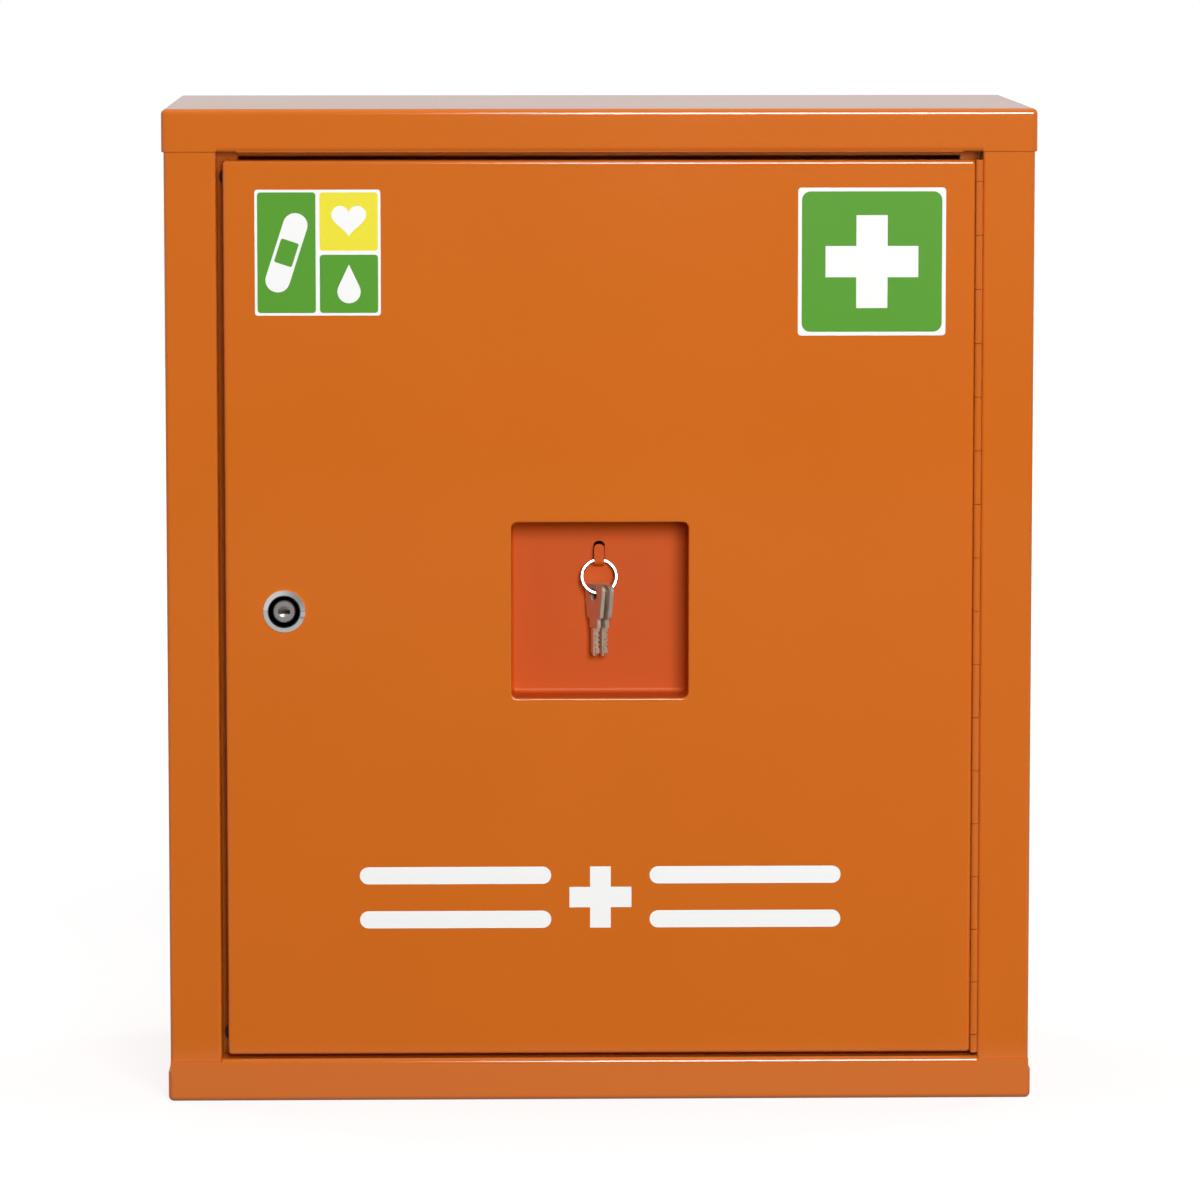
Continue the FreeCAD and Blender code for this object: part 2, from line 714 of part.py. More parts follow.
def key_box():
    """Tray behind the key window, with a hook lanced from its back wall."""
    box = new_body("key_box")
    mouth = front + size.sheet
    low = door_middle - window_half
    high = door_middle + window_half
    flange = size.sheet + size.box_flange
    rim = sketch_on(box, "box_flange_outline", "XZ_Plane", -mouth)
    rim_radius = size.window_radius + flange
    rectangle(rim, -window_half - flange, window_half + flange, low - flange, high + flange, rim_radius)
    pad(box, "box_flange", rim, size.sheet, backward=True)
    walls = sketch_on(box, "box_outline", "XZ_Plane", -mouth)
    wall = size.sheet
    wall_radius = size.window_radius + wall
    rectangle(walls, -window_half - wall, window_half + wall, low - wall, high + wall, wall_radius)
    pad(box, "box_block", walls, size.box_depth, backward=True)
    cavity = sketch_on(box, "box_cavity_outline", "XZ_Plane", -mouth)
    rectangle(cavity, -window_half, window_half, low, high, size.window_radius)
    depth = size.box_depth - size.sheet
    tray = hollowed(box, "box", cavity, depth, lambda at: close(at.y, box_wall), size.box_bend)
    rear = box_wall + size.sheet
    rounded(box, "box_folds", tray, lambda at: close(at.y, rear), size.box_bend + size.sheet)
    half_slot = size.hook_width / 2 + size.hook_slit
    slot_top = hook_low + size.hook_height + size.hook_top_slit
    slot_radius = size.hook_tip + size.hook_slit
    slot = sketch_on(box, "hook_slot", "XZ_Plane", -box_wall)
    outline(slot, [
        (-half_slot, hook_low + size.sheet, None),
        (half_slot, hook_low + size.sheet, None),
        (half_slot, slot_top, slot_radius),
        (-half_slot, slot_top, slot_radius),
    ])
    pocket(box, "hook_slot_cut", slot, 2 * size.sheet)
    tongue_front = box_wall - size.hook_gap - size.sheet
    tongue_tip = hook_low + size.hook_height
    tongue = sketch_on(box, "hook_section", "YZ_Plane")
    outline(tongue, folded([
        (box_wall, hook_low - 2 * outer_bend),
        (box_wall, hook_low),
        (tongue_front, hook_low),
        (tongue_front, tongue_tip),
    ], -1))
    hook = pad(box, "hook", tongue, size.hook_width, symmetric=True)

    def tip_corner(at):
        return close(at.z, tongue_tip) and close(abs(at.x), size.hook_width / 2)

    rounded(box, "hook_tip", hook, tip_corner, size.hook_tip)


# Continuous hinge.

def hinge_leaf(label, hand, first):
    """Strip with rolled knuckles, on the door (hand -1) or the stile (1); first is the lowest one's foot."""
    leaf = new_body(label, (axis_x, front, door_foot))
    bore = size.pin_diameter / 2 + size.pin_clearance
    faces = sorted((hand * bore, hand * knuckle_radius), key=lambda x: x.value)
    strip = sketch_on(leaf, f"{label}_strip_section", "XY_Plane")
    rectangle(strip, *faces, size.leaf_notch, size.leaf_depth)
    pad(leaf, f"{label}_strip", strip, door_height)
    foot = first + size.knuckle_gap / 2
    length = size.knuckle_pitch - size.knuckle_gap
    neck = sketch_on(leaf, f"{label}_neck_section", "XY_Plane", foot)
    rectangle(neck, *faces, 0, size.leaf_notch + size.leaf_sheet)
    necks = pad(leaf, f"{label}_neck", neck, length)
    ring = sketch_on(leaf, f"{label}_knuckle_section", "XY_Plane", foot)
    disc(ring, 0, 0, knuckle_radius)
    disc(ring, 0, 0, bore)
    knuckle = pad(leaf, f"{label}_knuckle", ring, length)
    pitch = 2 * size.knuckle_pitch
    count = ceiling((door_height - first) / pitch)
    straight_row(leaf, f"{label}_knuckles", [necks, knuckle], "Z_Axis", pitch, count)
    for end, level, backward in (("foot", None, False), ("head", door_height, True)):
        cut = sketch_on(leaf, f"{label}_{end}_trim", "XY_Plane", level)
        reach = size.leaf_depth
        rectangle(cut, -reach, reach, -reach, 2 * reach)
        pocket(leaf, f"{label}_{end}_cut", cut, size.knuckle_pitch, backward, sure=False)


def hinge_pin():
    pin = doc.addObject("Part::Cylinder", "hinge_pin")
    pin.Label = "hinge_pin"
    bind(pin, "Radius", size.pin_diameter / 2)
    bind(pin, "Height", door_height)
    move(pin, (axis_x, front, door_foot))


# Cam lock, drawn about its own axis: Y runs into the door from its front face.

def lock_housing():
    housing = new_body("lock_housing", lock_base)
    rim_radius = size.rim_diameter / 2
    rim = sketch_on(housing, "rim_section", "XY_Plane")
    polygon(rim, [
        (0, 0),
        (rim_radius, 0),
        (rim_radius, -size.rim_land),
        (size.rim_flat / 2, -size.rim_height),
        (0, -size.rim_height),
    ])
    turned(housing, "rim", rim)
    barrel = sketch_on(housing, "barrel_section", "XZ_Plane")
    flatted_disc(barrel, 0, 0, size.barrel_diameter / 2, size.barrel_flats / 2)
    pad(housing, "barrel", barrel, cam_front - size.cam_clearance, backward=True)
    cup = sketch_on(housing, "cup_outline", "XZ_Plane", size.rim_height)
    disc(cup, 0, 0, size.cup_diameter / 2)
    pocket(housing, "cup", cup, size.cup_depth)
    bore = sketch_on(housing, "bore_outline", "XZ_Plane", size.rim_height)
    disc(bore, 0, 0, size.plug_diameter / 2 + size.plug_clearance)
    pocket(housing, "bore", bore)


def lock_nut():
    nut = new_body("lock_nut", lock_base)
    flat = size.nut_flats / 2
    corner = flat * HEX_CORNER
    plan = sketch_on(nut, "nut_section", "XZ_Plane", -size.sheet)
    polygon(plan, [
        (corner, 0),
        (corner / 2, flat),
        (-corner / 2, flat),
        (-corner, 0),
        (-corner / 2, -flat),
        (corner / 2, -flat),
    ])
    disc(plan, 0, 0, size.barrel_diameter / 2 + size.plug_clearance)
    pad(nut, "nut", plan, size.nut_thickness, backward=True)


def wafer_places():
    first = plug_face + size.wafer_first
    return [first + index * size.wafer_pitch for index in range(round(size.wafer_count.value))]


def lock_plug():
    """Turning core with keyway, wafer slots and a square tail for the cam."""
    plug = new_body("lock_plug", lock_base)
    radius = size.plug_diameter / 2
    section = sketch_on(plug, "plug_section", "XY_Plane")
    polygon(section, [
        (0, plug_face),
        (radius - size.plug_edge, plug_face),
        (radius, plug_face + size.plug_edge),
        (radius, cam_front),
        (0, cam_front),
    ])
    turned(plug, "core", section)
    tail = sketch_on(plug, "tail_section", "XZ_Plane", -cam_front)
    half_tail = size.tail_square / 2
    rectangle(tail, -half_tail, half_tail, -half_tail, half_tail)
    pad(plug, "tail", tail, size.cam_thickness - size.tail_clearance, backward=True)
    keyway = sketch_on(plug, "keyway_outline", "XZ_Plane", -plug_face)
    half_key = size.keyway_width / 2
    rectangle(keyway, -half_key, half_key, -size.keyway_height / 2, size.keyway_height / 2)
    pocket(plug, "keyway", keyway, size.keyway_depth)
    dimple = sketch_on(plug, "dimple_section", "XY_Plane")
    dimple_radius = size.dimple_diameter / 2
    polygon(dimple, [(0, plug_face), (dimple_radius, plug_face), (0, plug_face + size.dimple_depth)])
    turned(plug, "dimple", dimple, "PartDesign::Groove")
    slots = sketch_on(plug, "wafer_slots", "YZ_Plane")
    half_slot = size.wafer_height / 2 + size.wafer_clearance
    for place_y in wafer_places():
        end = place_y + size.wafer_thickness + size.wafer_clearance
        rectangle(slots, place_y - size.wafer_clearance, end, -half_slot, half_slot)
    pocket(plug, "wafer_slot_cut", slots)
    thread = sketch_on(plug, "screw_hole", "XZ_Plane", size.tail_clearance - cam_front - size.cam_thickness)
    disc(thread, 0, 0, size.screw_diameter / 2 + size.plug_clearance)
    pocket(plug, "screw_hole_cut", thread, size.screw_length, backward=True)


def lock_wafers():
    """Brass plates that lie flush in the core's slots, each with a window for the key."""
    wafers = new_body("lock_wafers", lock_base)
    plug_radius = size.plug_diameter / 2
    half_plate = size.wafer_height / 2
    reach = square_root(plug_radius * plug_radius - half_plate * half_plate) - size.wafer_clearance
    plan = sketch_on(wafers, "wafer_sections", "YZ_Plane")
    for place_y in wafer_places():
        rectangle(plan, place_y, place_y + size.wafer_thickness, -half_plate, half_plate)
    pad(wafers, "wafer_plates", plan, 2 * reach, symmetric=True)
    window = sketch_on(wafers, "wafer_window", "XZ_Plane", -plug_face)
    half_key = size.keyway_width / 2
    rectangle(window, -half_key, half_key, -size.keyway_height / 2, size.keyway_height / 2)
    pocket(wafers, "wafer_window_cut", window)


def lock_cam():
    """Flat latch on the core's tail; it hangs down while unlocked."""
    cam = new_body("lock_cam", lock_base)
    half = size.cam_width / 2
    plan = sketch_on(cam, "cam_outline", "XZ_Plane", -cam_front)
    rectangle(plan, -half, half, -size.cam_reach, half, size.cam_corner)
    square = size.tail_square / 2 + size.tail_clearance
    rectangle(plan, -square, square, -square, square)
    pad(cam, "cam", plan, size.cam_thickness, backward=True)


def cam_washer():
    washer = new_body("cam_washer", lock_base)
    plan = sketch_on(washer, "washer_section", "XZ_Plane", -cam_back)
    disc(plan, 0, 0, size.washer_diameter / 2)
    disc(plan, 0, 0, size.screw_diameter / 2 + size.tail_clearance)
    pad(washer, "washer", plan, size.washer_thickness, backward=True)


def cam_screw():
    screw = new_body("cam_screw", lock_base)
    seat = cam_back + size.washer_thickness
    top = seat + size.screw_head_height
    tip = cam_back - size.tail_clearance - size.screw_length + size.cam_clearance
    shank = size.screw_diameter / 2
    head = size.screw_head / 2
    section = sketch_on(screw, "screw_section", "XY_Plane")
    polygon(section, [
        (0, tip),
        (shank, tip),
        (shank, seat),
        (head, seat),
        (head, top - size.screw_head_height / 2),
        (head - size.screw_head_height / 2, top),
        (0, top),
    ])
    turned(screw, "screw", section)


# Key ring and keys.

def key_ring():
    """Split ring of two pressed coils, tilted off the back wall by the keys."""
    ring = new_body("key_ring", ring_centre)
    ring.Placement.Rotation = FreeCAD.Rotation(Vector(-1, 0, 0), size.ring_tilt.value)
    bind(ring, "Placement.Rotation.Angle", size.ring_tilt)
    wire = size.ring_wire
    edge = size.ring_bevel
    outer = ring_radius + wire / 2
    inner = ring_radius - wire / 2
    coil = size.ring_coil
    outer_side = [(outer - edge, -coil), (outer, edge - coil), (outer, -edge), (outer - edge, 0),
                  (outer, edge), (outer, coil - edge), (outer - edge, coil)]
    inner_side = [(inner + edge, coil), (inner, coil - edge), (inner, edge), (inner + edge, 0),
                  (inner, -edge), (inner, edge - coil), (inner + edge, -coil)]
    section = sketch_on(ring, "coil_section", "XY_Plane")
    polygon(section, outer_side + inner_side)
    turned(ring, "coils", section)
    along = ring_radius * cosine(size.ring_slit_turn)
    up = ring_radius * sine(size.ring_slit_turn)
    for name, level, backward in (("front", up, True), ("rear", -up, False)):
        slit = sketch_on(ring, f"{name}_slit_outline", "XZ_Plane")
        low = level - size.ring_slit / 2
        high = level + size.ring_slit / 2
        rectangle(slit, -along - wire, wire - along, low, high)
        pocket(ring, f"{name}_slit", slit, 2 * coil, backward)


def flat_key(label, side):
    """Flat key hung by its bow; local X runs from the wall to the front along the blade's plane."""
    x = side * size.key_spacing / 2
    key = new_body(label, (x, ring_foot_y, ring_foot_z - size.key_sag))
    key.Placement.Rotation = FreeCAD.Rotation(Vector(0, 0, -1), RIGHT_ANGLE - size.key_turn.value)
    bind(key, "Placement.Rotation.Angle", RIGHT_ANGLE - size.key_turn)
    shoulder = -size.bow_below - size.shoulder_height
    tip = shoulder - size.blade_length
    half_blade = size.blade_width / 2
    plan = sketch_on(key, f"{label}_outline", "XZ_Plane")
    right_side = [
        (size.bow_width / 2, size.bow_above),
        (size.bow_foot / 2, -size.bow_below),
        (size.shoulder_width / 2, -size.bow_below),
        (size.shoulder_width / 2, shoulder),
        (half_blade, shoulder),
        (half_blade, tip + size.blade_tip),
    ]
    left_side = [(-x, z) for x, z in reversed(right_side)]
    polygon(plan, right_side + [(0, tip)] + left_side)
    disc(plan, 0, 0, size.key_hole / 2)
    plate = pad(key, f"{label}_plate", plan, size.key_thickness, symmetric=True)

    def bow_top(at):
        return close(at.z, size.bow_above) and close(abs(at.x), size.bow_width / 2)

    def bow_foot(at):
        return close(at.z, -size.bow_below) and close(abs(at.x), size.bow_foot / 2)

    top = rounded(key, f"{label}_bow_top", plate, bow_top, size.bow_radius)
    rounded(key, f"{label}_bow_foot", top, bow_foot, size.bow_foot_radius)
    for name, face, backward in (("front", 1, False), ("rear", -1, True)):
        groove = sketch_on(key, f"{label}_{name}_groove_outline", "XZ_Plane", face * size.key_thickness / 2)
        middle = face * size.groove_shift
        reach = size.groove_width / 2
        rectangle(groove, middle - reach, middle + reach, tip - size.blade_tip, shoulder)
        pocket(key, f"{label}_{name}_groove", groove, size.blade_groove, backward)
    cuts = sketch_on(key, f"{label}_cut_outline", "XZ_Plane")
    for index in range(round(size.cut_count.value)):
        level = shoulder - size.cut_first - index * size.cut_pitch
        spread = size.cut_depth
        polygon(cuts, [
            (half_blade + spread, level - 2 * spread),
            (half_blade + spread, level + 2 * spread),
            (half_blade - spread, level),
        ])
    pocket(key, f"{label}_cuts", cuts)


side_panel("left_side_panel", -1)
side_panel("right_side_panel", 1)
back_panel()
top_cover()
bottom_cover()
for tier, sign in (("upper", 1), ("lower", -1)):
    shelf_level = sign * size.shelf_pitch / 2
    shelf(f"{tier}_shelf", shelf_level)
    rail(f"{tier}_left_rail", -1, shelf_level - size.sheet)
    rail(f"{tier}_right_rail", 1, shelf_level - size.sheet)
door_buffers()
hinge_leaf("hinge_frame_leaf", 1, size.first_knuckle - size.knuckle_pitch)
hinge_leaf("hinge_door_leaf", -1, size.first_knuckle)
hinge_pin()
door_panel()
key_box()
lock_housing()
lock_nut()
lock_plug()
lock_wafers()
lock_cam()
cam_washer()
cam_screw()
key_ring()
flat_key("key_one", -1)
flat_key("key_two", 1)
doc.recompute()

# Nothing is written unless every object is sound.
for item in doc.Objects:
    if "Invalid" in item.State or "Error" in item.State:
        raise RuntimeError(f"{item.Label} failed: {item.State}")
pieces = [item for item in doc.Objects if item.TypeId == "PartDesign::Body" or item.Label == "hinge_pin"]
for piece in pieces:
    if piece.Shape.isNull() or not piece.Shape.isValid():
        raise RuntimeError(f"{piece.Label} has no sound shape")
os.makedirs("parts", exist_ok=True)
for piece in pieces:
    piece.Shape.exportStep(f"parts/{piece.Label}.step")
    print(piece.Label, len(piece.Shape.Solids), round(piece.Shape.Volume, 1))
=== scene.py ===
import math

import bmesh
import bpy
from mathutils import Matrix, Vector


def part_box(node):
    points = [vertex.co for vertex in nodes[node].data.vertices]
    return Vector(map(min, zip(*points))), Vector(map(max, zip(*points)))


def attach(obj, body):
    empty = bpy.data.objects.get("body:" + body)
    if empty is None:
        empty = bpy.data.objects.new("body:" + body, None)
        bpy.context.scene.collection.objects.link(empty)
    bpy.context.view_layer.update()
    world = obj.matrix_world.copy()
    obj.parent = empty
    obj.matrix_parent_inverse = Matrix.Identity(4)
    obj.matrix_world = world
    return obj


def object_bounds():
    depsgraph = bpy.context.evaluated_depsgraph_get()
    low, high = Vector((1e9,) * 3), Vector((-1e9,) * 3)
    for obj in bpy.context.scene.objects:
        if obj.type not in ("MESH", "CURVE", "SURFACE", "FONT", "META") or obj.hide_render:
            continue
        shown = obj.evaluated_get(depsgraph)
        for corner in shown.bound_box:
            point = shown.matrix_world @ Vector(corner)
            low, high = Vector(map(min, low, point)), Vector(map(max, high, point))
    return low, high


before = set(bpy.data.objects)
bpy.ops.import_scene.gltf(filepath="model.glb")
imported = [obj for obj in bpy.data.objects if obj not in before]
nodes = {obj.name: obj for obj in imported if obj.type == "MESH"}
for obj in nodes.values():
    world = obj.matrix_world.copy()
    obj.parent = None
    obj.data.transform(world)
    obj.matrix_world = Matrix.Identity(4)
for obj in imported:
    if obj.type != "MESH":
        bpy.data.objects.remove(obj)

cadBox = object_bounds()
mm = 0.001


def hexToLinear(code):
    channels = []
    for start in (1, 3, 5):
        value = int(code[start:start + 2], 16) / 255
        channels.append(value / 12.92 if value <= 0.04045 else ((value + 0.055) / 1.055) ** 2.4)
    return (*channels, 1.0)


def perMm(sizeMm):  # texture scale for a pattern that repeats about every sizeMm
    return 1 / (sizeMm * mm)


# On a colour Mix node, sockets 6 and 7 are the two tones, and output 2 is the result.
def addNode(tree, kind, settings=None, values=None, links=None):
    node = tree.nodes.new(kind)
    for name, value in (settings or {}).items():
        setattr(node, name, value)
    for socket, value in (values or {}).items():
        node.inputs[socket].default_value = value
    for socket, source in (links or {}).items():
        tree.links.new(source, node.inputs[socket])
    return node


def newMaterial(name, values):
    material = bpy.data.materials.new(name)
    material.use_nodes = True
    tree = material.node_tree
    shader = tree.nodes["Principled BSDF"]
    for socket, value in values.items():
        shader.inputs[socket].default_value = value
    place = addNode(tree, "ShaderNodeTexCoord").outputs["Object"]  # metres, in the CAD frame
    return material, tree, shader, place


# Gloss polyester powder coat, sprayed on sheet steel and baked: a smooth deep orange skin with a faint
# orange peel, a few dust nibs under the gloss and a slightly uneven film. The key box wears a redder, duller
# copy of the same coat: its redder tone is painted light, the reddened bounce light inside the recess.
powderCoat = {
    "shades": {
        "orangePowderCoat": {"deep": "#D26B1E", "light": "#D66E20", "rough": (0.07, 0.11), "IOR": 1.5},
        # the key box's redder tone is painted bounce light from inside the recess
        "recessShadeCoat": {"deep": "#C34D04", "light": "#C75006", "rough": (0.42, 0.50), "IOR": 1.3},
    },
    "cloudMm": 70,
    "peelMm": 2.4,         # real peel is nearer 1 mm, drawn coarser so that it shows
    "peelHeightMm": 0.004,
    "nibSpacingMm": 26,
    "nibRadiusMm": 0.55,
    "nibHeightMm": 0.05,
}


def bakedCoat(name):
    spec = powderCoat
    shade = spec["shades"][name]
    material, tree, shader, place = newMaterial(name, {"IOR": shade["IOR"]})
    cloud = addNode(tree, "ShaderNodeTexNoise", values={"Scale": perMm(spec["cloudMm"]), "Detail": 3.0},
                    links={"Vector": place})
    tint = addNode(tree, "ShaderNodeMix", {"data_type": "RGBA"},
                   {6: hexToLinear(shade["deep"]), 7: hexToLinear(shade["light"])}, {0: cloud.outputs["Fac"]})
    tree.links.new(tint.outputs[2], shader.inputs["Base Color"])
    peel = addNode(tree, "ShaderNodeTexNoise", values={"Scale": perMm(spec["peelMm"]), "Detail": 1.0},
                   links={"Vector": place})
    rough = addNode(tree, "ShaderNodeMapRange", values={"To Min": shade["rough"][0], "To Max": shade["rough"][1]},
                    links={"Value": cloud.outputs["Fac"]})
    tree.links.new(rough.outputs["Result"], shader.inputs["Roughness"])
    nibs = addNode(tree, "ShaderNodeTexVoronoi", {"feature": "F1"}, {"Scale": perMm(spec["nibSpacingMm"])},
                   {"Vector": place})
    nibEdge = spec["nibRadiusMm"] / spec["nibSpacingMm"]
    nib = addNode(tree, "ShaderNodeMapRange", {"interpolation_type": "SMOOTHSTEP"},
                  {"From Min": nibEdge, "From Max": 0.0}, {"Value": nibs.outputs["Distance"]})
    peelBump = addNode(tree, "ShaderNodeBump", values={"Strength": 1.0, "Distance": spec["peelHeightMm"] * mm},
                       links={"Height": peel.outputs["Fac"]})
    nibBump = addNode(tree, "ShaderNodeBump", values={"Strength": 1.0, "Distance": spec["nibHeightMm"] * mm},
                      links={"Height": nib.outputs["Result"], "Normal": peelBump.outputs["Normal"]})
    tree.links.new(nibBump.outputs["Normal"], shader.inputs["Normal"])
    return material


# Moulded rubber: dull dark brown with a fine grain that scatters the light.
rubber = {"dark": "#47302B", "worn": "#573A33", "rough": 0.75, "IOR": 1.52, "grainMm": 0.6,
          "grainHeightMm": 0.02}


def mouldedRubber():
    material, tree, shader, place = newMaterial("mouldedRubber", {"IOR": rubber["IOR"],
                                                                  "Roughness": rubber["rough"]})
    grain = addNode(tree, "ShaderNodeTexNoise", values={"Scale": perMm(rubber["grainMm"]), "Detail": 4.0},
                    links={"Vector": place})
    tint = addNode(tree, "ShaderNodeMix", {"data_type": "RGBA"},
                   {6: hexToLinear(rubber["dark"]), 7: hexToLinear(rubber["worn"])}, {0: grain.outputs["Fac"]})
    tree.links.new(tint.outputs[2], shader.inputs["Base Color"])
    bump = addNode(tree, "ShaderNodeBump", values={"Strength": 1.0, "Distance": rubber["grainHeightMm"] * mm},
                   links={"Height": grain.outputs["Fac"]})
    tree.links.new(bump.outputs["Normal"], shader.inputs["Normal"])
    return material


# Plated and bare metals. Each one: two tones, how far its roughness varies, and the marks that its making
# left: grain stretched along one axis for drawn, brushed or rolled metal, even grain for plating.
# The chromed housing is drawn near black in the sunk ring round the plug.
metals = {
    "polishedChrome": {"dark": "#E6E8EA", "light": "#F8F9F9", "rough": (0.05, 0.12), "grainMm": (1.2, 1.2, 1.2),
                       "heightMm": 0.0006,
                       "sunkRing": {"tone": "#070707", "middleMm": (-155.0, -200.0, -0.9), "radiusMm": 7.75,
                                   "edgeMm": 0.1}},  # a mirror with sharp light and dark patches
    "satinNickel": {"dark": "#B0ACAA", "light": "#C4C0BE", "rough": (0.26, 0.36), "grainMm": (0.5, 0.5, 0.5),
                    "heightMm": 0.004},  # an even grey with a soft sheen
    "zincPlate": {"dark": "#A9ACAE", "light": "#C6C8C8", "rough": (0.28, 0.45), "grainMm": (1.6, 1.6, 1.6),
                  "heightMm": 0.003},  # dull and bluish, a little blotchy
    # the pin's near-black tone is painted shade, so that the knuckle seams show as dark lines
    "shadedPinSteel": {"dark": "#4A4440", "light": "#5C5550", "rough": (0.35, 0.50), "grainMm": (0.3, 0.3, 12),
                       "heightMm": 0.003},  # dark, with lines along the pin
    "stampedBrass": {"dark": "#A8823C", "light": "#C9A256", "rough": (0.28, 0.40), "grainMm": (0.4, 2.0, 0.4),
                     "heightMm": 0.003},  # dull yellow, with short lines from rolling
    "springSteelWire": {"dark": "#808084", "light": "#939397", "rough": (0.10, 0.16), "grainMm": (0.8, 0.8, 0.8),
                        "heightMm": 0.001},  # grey wire with bright lines
    "nickelSilver": {"dark": "#D6CAB8", "light": "#ECE3D4", "rough": (0.38, 0.52), "grainMm": (0.35, 0.35, 5),
                     "heightMm": 0.003},  # warm grey, brushed along the key
}


def metal(name):
    spec = metals[name]
    material, tree, shader, place = newMaterial(name, {"Metallic": 1.0})
    stretch = addNode(tree, "ShaderNodeMapping", {"vector_type": "POINT"},
                      {"Scale": [perMm(size) for size in spec["grainMm"]]}, {"Vector": place})
    grain = addNode(tree, "ShaderNodeTexNoise", values={"Scale": 1.0, "Detail": 3.0},
                    links={"Vector": stretch.outputs["Vector"]})
    tint = addNode(tree, "ShaderNodeMix", {"data_type": "RGBA"},
                   {6: hexToLinear(spec["dark"]), 7: hexToLinear(spec["light"])}, {0: grain.outputs["Fac"]})
    tone = tint
    if "sunkRing" in spec:
        sunkRing = spec["sunkRing"]
        middle = [-value * mm for value in sunkRing["middleMm"]]
        local = addNode(tree, "ShaderNodeVectorMath", {"operation": "ADD"}, {1: middle}, {0: place})
        flat = addNode(tree, "ShaderNodeVectorMath", {"operation": "MULTIPLY"}, {1: (1, 0, 1)},
                       {0: local.outputs[0]})
        radius = addNode(tree, "ShaderNodeVectorMath", {"operation": "LENGTH"}, links={0: flat.outputs[0]})
        clear = addNode(tree, "ShaderNodeMapRange", {"interpolation_type": "SMOOTHSTEP"},
                        {"From Min": (sunkRing["radiusMm"] - sunkRing["edgeMm"]) * mm,
                         "From Max": sunkRing["radiusMm"] * mm}, {"Value": radius.outputs["Value"]})
        tone = addNode(tree, "ShaderNodeMix", {"data_type": "RGBA"}, {6: hexToLinear(sunkRing["tone"])},
                       {0: clear.outputs["Result"], 7: tint.outputs[2]})
    tree.links.new(tone.outputs[2], shader.inputs["Base Color"])
    rough = addNode(tree, "ShaderNodeMapRange", values={"To Min": spec["rough"][0], "To Max": spec["rough"][1]},
                    links={"Value": grain.outputs["Fac"]})
    tree.links.new(rough.outputs["Result"], shader.inputs["Roughness"])
    bump = addNode(tree, "ShaderNodeBump", values={"Strength": 1.0, "Distance": spec["heightMm"] * mm},
                   links={"Height": grain.outputs["Fac"]})
    tree.links.new(bump.outputs["Normal"], shader.inputs["Normal"])
    return material


# Screen-printed vinyl film: flat opaque ink under a clear gloss, with a faint weave from the print mesh.
vinyls = {
    "whiteVinyl": {"ink": "#FFFFFE", "thin": "#FBFBFA"},
    "greenVinyl": {"ink": "#589D30", "thin": "#5EA136"},
    "yellowVinyl": {"ink": "#F3E533", "thin": "#F5E94A"},
}
vinylFilm = {"meshMm": 1.1, "rough": 0.16, "IOR": 1.48, "thickMm": 0.06}


def printedVinyl(name):
    spec = vinyls[name]
    material, tree, shader, place = newMaterial(name, {"IOR": vinylFilm["IOR"], "Roughness": vinylFilm["rough"]})
    ink = addNode(tree, "ShaderNodeTexNoise", values={"Scale": perMm(vinylFilm["meshMm"]), "Detail": 2.0},
                  links={"Vector": place})
    tint = addNode(tree, "ShaderNodeMix", {"data_type": "RGBA"},
                   {6: hexToLinear(spec["ink"]), 7: hexToLinear(spec["thin"])}, {0: ink.outputs["Fac"]})
    tree.links.new(tint.outputs[2], shader.inputs["Base Color"])
    return material


# Which finish each CAD node wears.
finishes = {
    "orangePowderCoat": ["left_side_panel", "right_side_panel", "back_panel", "top_cover", "bottom_cover",
                         "upper_shelf", "lower_shelf", "upper_left_rail", "upper_right_rail", "lower_left_rail",
                         "lower_right_rail", "hinge_frame_leaf", "hinge_door_leaf", "door_panel"],
    # the key box wears the coat whose redder tone paints the bounce light of the recess
    "recessShadeCoat": ["key_box"],
    "mouldedRubber": ["door_buffers"],
    "polishedChrome": ["lock_housing"],
    "satinNickel": ["lock_plug"],
    "zincPlate": ["lock_nut", "lock_cam", "cam_washer", "cam_screw"],
    "shadedPinSteel": ["hinge_pin"],
    "stampedBrass": ["lock_wafers"],
    "springSteelWire": ["key_ring"],
    "nickelSilver": ["key_one", "key_two"],
}
materials = {"mouldedRubber": mouldedRubber()}
materials.update({name: bakedCoat(name) for name in powderCoat["shades"]})
materials.update({name: metal(name) for name in metals})
materials.update({name: printedVinyl(name) for name in vinyls})
for finish, names in finishes.items():
    for name in names:
        nodes[name].data.materials.clear()
        nodes[name].data.materials.append(materials[finish])
print("finishes:", len(materials), "materials")


# Outlines of the printed films, as (x, z) in millimetres round their own middle, anticlockwise from the front.
def roundedBox(width, height, radius, steps=6):
    points = []
    for corner, (sideX, sideZ) in enumerate(((1, 1), (-1, 1), (-1, -1), (1, -1))):
        middleX = sideX * (width / 2 - radius)
        middleZ = sideZ * (height / 2 - radius)
        for step in range(steps + 1):
            angle = math.radians(90 * (corner + step / steps))
            points.append((middleX + radius * math.cos(angle), middleZ + radius * math.sin(angle)))
    return points


def crossOutline(span, arm):
    far, near = span / 2, arm / 2
    return [(far, -near), (far, near), (near, near), (near, far), (-near, far), (-near, near),
            (-far, near), (-far, -near), (-near, -near), (-near, -far), (near, -far), (near, -near)]


# The usual heart curve, which is 32 units wide and has its middle 2.5 units below its origin.
def heartOutline(width, steps=40):
    unit, lift = width / 32, 2.5
    points = []
    for step in range(steps):
        angle = 2 * math.pi * step / steps
        x = 16 * math.sin(angle) ** 3
        z = 13 * math.cos(angle) - 5 * math.cos(2 * angle) - 2 * math.cos(3 * angle) - math.cos(4 * angle)
        points.append((-x * unit, (z + lift) * unit))
    return points


